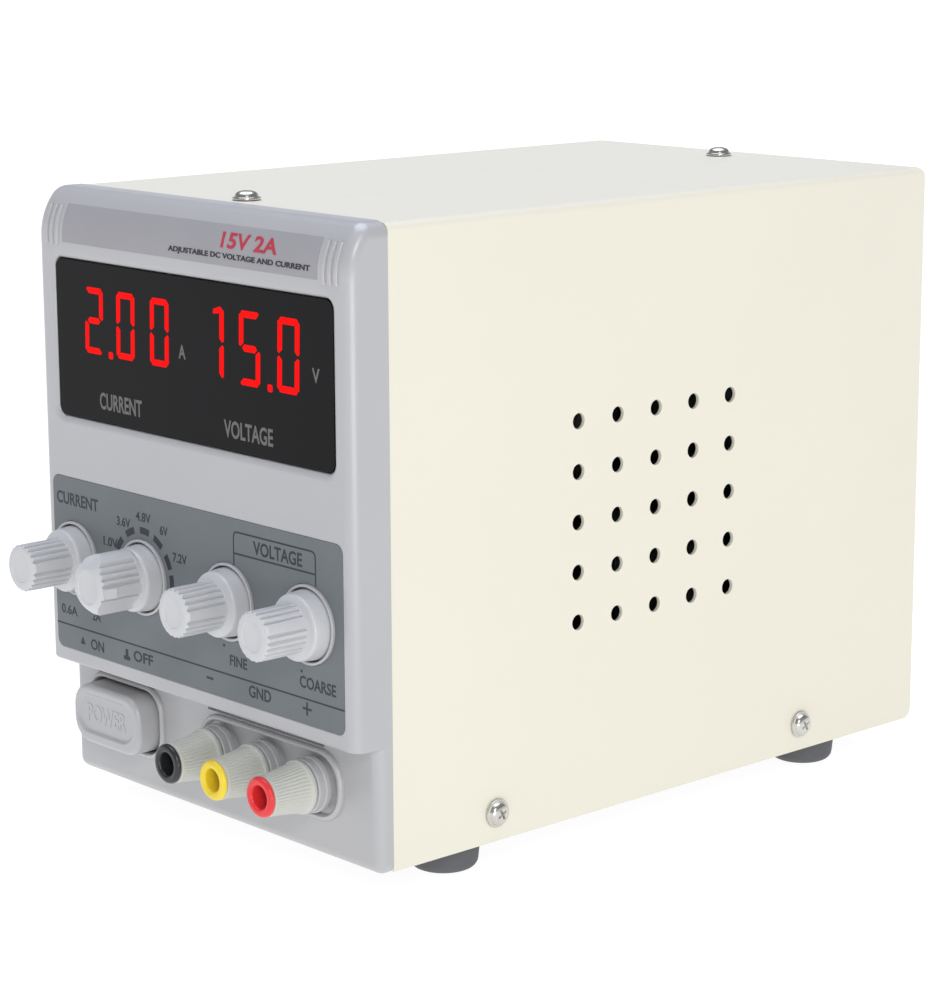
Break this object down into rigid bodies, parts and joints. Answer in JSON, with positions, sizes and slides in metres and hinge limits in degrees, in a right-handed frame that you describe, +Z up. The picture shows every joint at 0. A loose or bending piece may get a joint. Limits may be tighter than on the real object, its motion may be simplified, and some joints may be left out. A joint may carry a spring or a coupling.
{
  "type": "bench power supply",
  "caption": "Boxy bench DC power supply: sloped-top front bezel with digital readout, control knobs, push switch and binding posts on a vented cream sheet-metal case.",
  "frame": {"origin": "centre of the bounding box in X and Y, on the surface that the feet stand on", "axes": "+Z up, -Y out of the front panel, +X to the right seen from the front"},
  "size_m": [0.133, 0.244, 0.171],
  "materials": {
    "bezel": "fine satin moulding texture, light cool grey",
    "galvanised_sheet": "zinc plated sheet, satin",
    "display_window": "smoked acrylic, near black, glossy",
    "name_plate": "printed film, grey with a violet cast, satin",
    "control_label": "printed film, mid grey, satin",
    "cover_paint": "cream powder paint, fine orange-peel, satin",
    "screw_steel": "nickel plated steel, bright",
    "foot_rubber": "dark grey moulded rubber, dull",
    "knob": "light grey moulded plastic, satin",
    "brass": "turned brass, bright",
    "control_metal": "pressed aluminium case, satin",
    "black_plastic": "black moulded plastic, satin",
    "post_nut": "warm grey moulded plastic, fine knurl, satin",
    "ring_black": "black moulded plastic, glossy",
    "ring_yellow": "yellow moulded plastic, glossy",
    "ring_red": "red moulded plastic, glossy",
    "circuit_board": "green solder mask on glass epoxy, satin",
    "digit_module": "dark grey display module, matte",
    "laminations": "stacked varnished steel laminations",
    "winding_tape": "yellow polyester tape over copper windings",
    "capacitor_sleeve": "dark blue shrink sleeve",
    "heatsink_metal": "black anodised extrusion, satin",
    "transistor_steel": "plated steel can",
    "selector_red": "red moulded plastic",
    "digit_red": "lit red display segments",
    "ink_dark": "dark screen-printed legends",
    "ink_light": "light grey screen-printed legends",
    "ink_red": "red screen-printed legend"
  },
  "bodies": {
    "case": {"front_bezel": "bezel", "front_plate": "galvanised_sheet", "bottom_tray": "galvanised_sheet", "rear_panel": "galvanised_sheet", "transformer_bracket": "galvanised_sheet", "display_window": "display_window", "name_plate": "name_plate", "control_label": "control_label", "top_cover": "cover_paint", "cover_screw_top_front": "screw_steel", "cover_screw_top_rear": "screw_steel", "cover_screw_right_front": "screw_steel", "cover_screw_right_rear": "screw_steel", "cover_screw_left_front": "screw_steel", "cover_screw_left_rear": "screw_steel", "foot_right_front": "foot_rubber", "foot_right_rear": "foot_rubber", "foot_left_front": "foot_rubber", "foot_left_rear": "foot_rubber", "current_potentiometer": "control_metal", "selector_rotary_switch": "control_metal", "fine_potentiometer": "control_metal", "coarse_potentiometer": "control_metal", "power_switch": "black_plastic", "bridge_rectifier": "black_plastic", "mains_inlet": "black_plastic", "fuse_holder": "black_plastic", "voltage_selector": "black_plastic", "negative_post_stud": "brass", "negative_post_base": "bezel", "ground_post_stud": "brass", "ground_post_base": "bezel", "positive_post_stud": "brass", "positive_post_base": "bezel", "display_board": "circuit_board", "main_board": "circuit_board", "current_digits": "digit_module", "voltage_digits": "digit_module", "transformer_core": "laminations", "transformer_winding": "winding_tape", "filter_capacitor": "capacitor_sleeve", "heatsink": "heatsink_metal", "power_transistor": "transistor_steel"},
    "current_dial": {"current_knob": "knob", "current_shaft": "brass"},
    "selector_dial": {"selector_knob": "knob", "selector_shaft": "brass"},
    "fine_dial": {"fine_knob": "knob", "fine_shaft": "brass"},
    "coarse_dial": {"coarse_knob": "knob", "coarse_shaft": "brass"},
    "power_button": {"power_button": "bezel"},
    "negative_post_end": {"negative_post_end_ring": "ring_black"},
    "negative_nut": {"negative_post_nut": "post_nut"},
    "ground_post_end": {"ground_post_end_ring": "ring_yellow"},
    "ground_nut": {"ground_post_nut": "post_nut"},
    "positive_post_end": {"positive_post_end_ring": "ring_red"},
    "positive_nut": {"positive_post_nut": "post_nut"},
    "fuse_cap": {"fuse_cap": "black_plastic"},
    "voltage_slider": {"selector_slider": "selector_red"}
  },
  "joints": [
    {"name": "current_knob_turn", "type": "hinge", "parent": "case", "child": "current_dial", "pos_m": [-0.051, -0.1042, 0.0701], "axis": [0, 1, 0], "range_deg": [-300, 0]},
    {"name": "selector_knob_turn", "type": "hinge", "parent": "case", "child": "selector_dial", "pos_m": [-0.0205, -0.1042, 0.0701], "axis": [0, 1, 0], "range_deg": [-240, 0]},
    {"name": "fine_knob_turn", "type": "hinge", "parent": "case", "child": "fine_dial", "pos_m": [0.0158, -0.1042, 0.0701], "axis": [0, 1, 0], "range_deg": [-150, 150]},
    {"name": "coarse_knob_turn", "type": "hinge", "parent": "case", "child": "coarse_dial", "pos_m": [0.0474, -0.1042, 0.0701], "axis": [0, 1, 0], "range_deg": [-300, 0]},
    {"name": "power_button_press", "type": "slide", "parent": "case", "child": "power_button", "axis": [0, 1, 0], "range_m": [0, 0.004], "stiffness_N_per_m": 250},
    {"name": "negative_nut_travel", "type": "slide", "parent": "case", "child": "negative_post_end", "axis": [0, -1, 0], "range_m": [0, 0.0028]},
    {"name": "negative_nut_turn", "type": "hinge", "parent": "negative_post_end", "child": "negative_nut", "pos_m": [0.003, -0.1042, 0.027], "axis": [0, -1, 0], "range_deg": [0, 1440]},
    {"name": "ground_nut_travel", "type": "slide", "parent": "case", "child": "ground_post_end", "axis": [0, -1, 0], "range_m": [0, 0.0028]},
    {"name": "ground_nut_turn", "type": "hinge", "parent": "ground_post_end", "child": "ground_nut", "pos_m": [0.022, -0.1042, 0.027], "axis": [0, -1, 0], "range_deg": [0, 1440]},
    {"name": "positive_nut_travel", "type": "slide", "parent": "case", "child": "positive_post_end", "axis": [0, -1, 0], "range_m": [0, 0.0028]},
    {"name": "positive_nut_turn", "type": "hinge", "parent": "positive_post_end", "child": "positive_nut", "pos_m": [0.041, -0.1042, 0.027], "axis": [0, -1, 0], "range_deg": [0, 1440]},
    {"name": "fuse_cap_turn", "type": "hinge", "parent": "case", "child": "fuse_cap", "pos_m": [0.012, -0.1042, 0.042], "axis": [0, 1, 0], "range_deg": [0, 90]},
    {"name": "voltage_selector_slide", "type": "slide", "parent": "case", "child": "voltage_slider", "axis": [1, 0, 0], "range_m": [0, 0.004]}
  ],
  "couplings": [
    {"joint": "negative_nut_turn", "follows": "negative_nut_travel", "rad_per_m": 8975.9},
    {"joint": "ground_nut_turn", "follows": "ground_nut_travel", "rad_per_m": 8975.9},
    {"joint": "positive_nut_turn", "follows": "positive_nut_travel", "rad_per_m": 8975.9}
  ]
}
